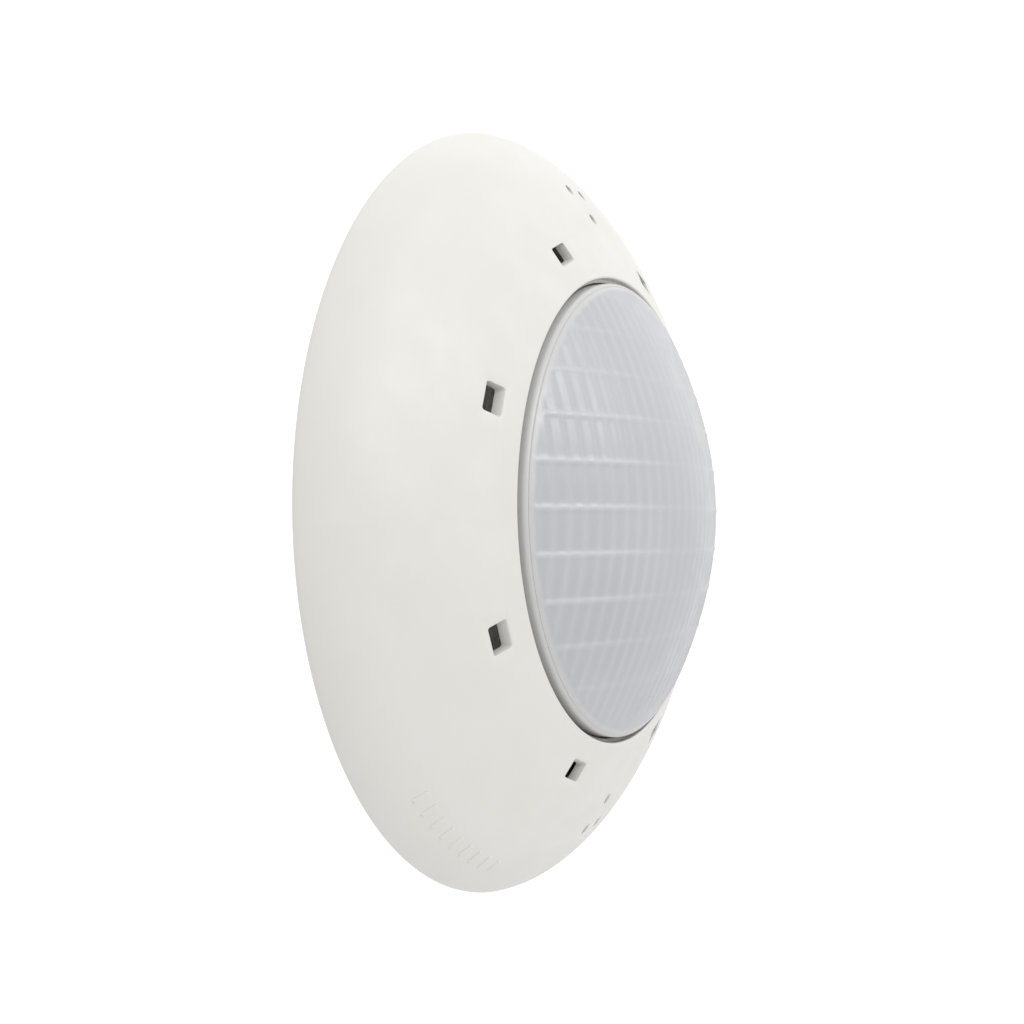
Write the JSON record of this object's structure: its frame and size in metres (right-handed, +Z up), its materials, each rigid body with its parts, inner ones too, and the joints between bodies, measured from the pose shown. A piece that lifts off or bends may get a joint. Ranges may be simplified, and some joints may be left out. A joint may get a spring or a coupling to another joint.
{
  "type": "underwater pool light",
  "caption": "Round surface-mounted underwater pool light: domed trim ring over a wall plate, with a sealed LED lamp behind a bulging prismatic frosted lens.",
  "frame": {"origin": "on the lamp's optical axis, in the plane of the pool wall (the back face of the wall plate)", "axes": "-Y points out of the wall along the light's optical axis, +Z is up with the lens's straight ridges level, +X is to the right for someone who looks at the light"},
  "size_m": [0.28, 0.0857, 0.28],
  "materials": {
    "ring_abs": "satin warm off-white moulded ABS",
    "frosted_lens": "frosted polycarbonate with moulded flutes and ridges",
    "plate_abs": "fine moulded texture",
    "lamp_casing": "satin moulded",
    "stainless_steel": "marine-grade stainless, lightly brushed",
    "black_rubber": "matt EPDM",
    "silicone": "matt translucent silicone",
    "gland_nylon": "satin nylon",
    "aluminium": "milled sheet",
    "board_white": "white solder mask",
    "board_green": "green solder mask",
    "led_dome": "clear dome over yellow phosphor",
    "capacitor_sleeve": "shrink sleeve",
    "ferrite": "matt sintered",
    "epoxy_black": "moulded epoxy",
    "terminal_green": "moulded",
    "lead_red": "wire sleeve",
    "lead_black": "wire sleeve"
  },
  "bodies": {
    "wall_mount": {"wall_plate": "plate_abs", "wall_screw_1": "stainless_steel", "wall_screw_2": "stainless_steel", "wall_screw_3": "stainless_steel", "wall_screw_4": "stainless_steel", "cable_grommet": "black_rubber", "ring_grommet_1": "black_rubber", "ring_grommet_2": "black_rubber", "ring_grommet_3": "black_rubber", "ring_grommet_4": "black_rubber"},
    "front_cover": {"front_ring": "ring_abs"},
    "lamp": {"lamp_lens": "frosted_lens", "lens_gasket": "silicone", "clamp_band": "stainless_steel", "clamp_screw": "stainless_steel", "clamp_nut": "stainless_steel", "lamp_housing": "lamp_casing", "gland_body": "gland_nylon", "gland_seal": "black_rubber", "heat_spreader": "aluminium", "led_board": "board_white", "led_01": "led_dome", "led_02": "led_dome", "led_03": "led_dome", "led_04": "led_dome", "led_05": "led_dome", "led_06": "led_dome", "led_07": "led_dome", "led_08": "led_dome", "led_09": "led_dome", "led_10": "led_dome", "led_11": "led_dome", "led_12": "led_dome", "board_screw_1": "stainless_steel", "board_screw_2": "stainless_steel", "board_screw_3": "stainless_steel", "board_screw_4": "stainless_steel", "driver_board": "board_green", "capacitor_1": "capacitor_sleeve", "capacitor_2": "capacitor_sleeve", "inductor": "ferrite", "rectifier": "epoxy_black", "driver_chip": "epoxy_black", "terminal_block": "terminal_green", "lead_red": "lead_red", "lead_black": "lead_black"},
    "gland_nut": {"gland_nut": "gland_nylon"}
  },
  "joints": [
    {"name": "front_slide", "type": "slide", "parent": "wall_mount", "child": "front_cover", "axis": [0, -1, 0], "range_m": [0, 0.1]},
    {"name": "lamp_slide", "type": "slide", "parent": "wall_mount", "child": "lamp", "axis": [0, -1, 0], "range_m": [0, 0.05]},
    {"name": "gland_nut_turn", "type": "hinge", "parent": "lamp", "child": "gland_nut", "pos_m": [0, -0.019, -0.092], "axis": [0, 0, -1], "range_deg": [0, 1350]}
  ],
  "couplings": [
    {"joint": "lamp_slide", "follows": "front_slide", "ratio": 0.5}
  ]
}
